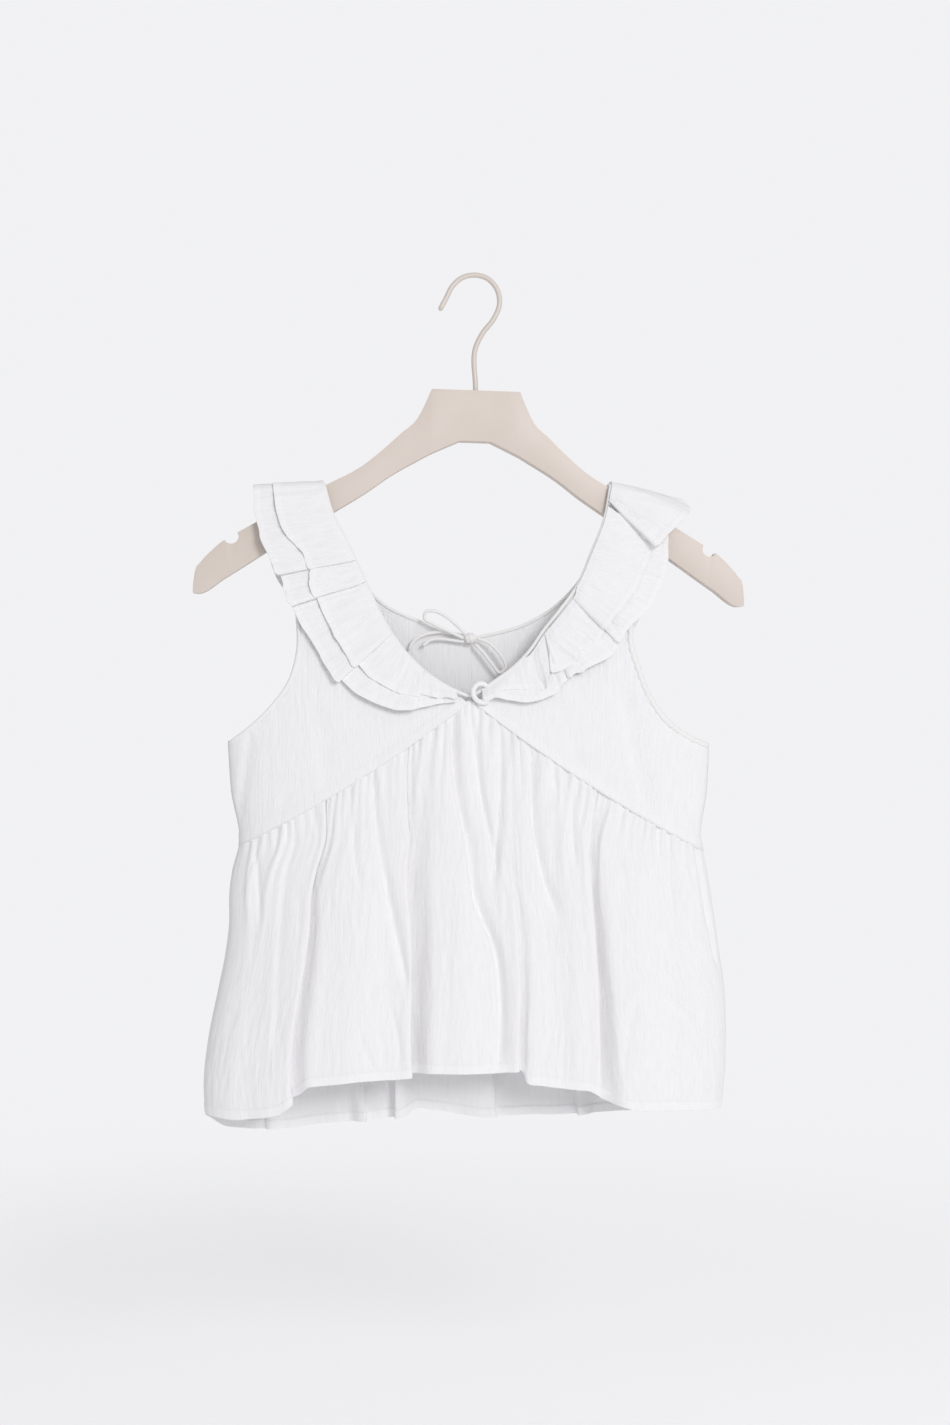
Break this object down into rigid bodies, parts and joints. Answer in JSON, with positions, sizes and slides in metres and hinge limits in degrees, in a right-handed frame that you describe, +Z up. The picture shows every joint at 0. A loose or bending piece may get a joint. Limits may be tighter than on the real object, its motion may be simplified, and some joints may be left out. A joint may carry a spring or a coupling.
{
  "type": "flounce top on a hanger",
  "caption": "Sleeveless gathered cotton top with a pleated two-tier neck flounce and a bow at the back of the neck, on a flat wooden hanger with a wire hook.",
  "frame": {"origin": "the inner top of the hook, where a rail or wall hook holds the hanger", "axes": "+Z up; the front of the garment faces -Y; +X to the right as seen from the front"},
  "size_m": [0.4305, 0.0629, 0.6681],
  "materials": {
    "cotton": "white crinkled cotton double gauze",
    "binding": "white bias binding, rolled",
    "lacquered_wood": "smooth beige lacquer on wood",
    "lacquered_wire": "beige lacquered steel wire"
  },
  "bodies": {
    "root": {"yoke_front_left": "cotton", "yoke_front_right": "cotton", "yoke_back_left": "cotton", "yoke_back_right": "cotton", "skirt_front": "cotton", "skirt_back": "cotton", "flounce_under_left": "cotton", "flounce_under_right": "cotton", "flounce_top_left": "cotton", "flounce_top_right": "cotton", "neck_binding": "binding", "armhole_binding_left": "binding", "armhole_binding_right": "binding", "tie_loop_left": "binding", "tie_loop_right": "binding", "tie_tail_upper": "binding", "tie_tail_lower": "binding", "tie_knot": "binding", "hanger_body": "lacquered_wood", "hanger_hook": "lacquered_wire"}
  },
  "joints": []
}
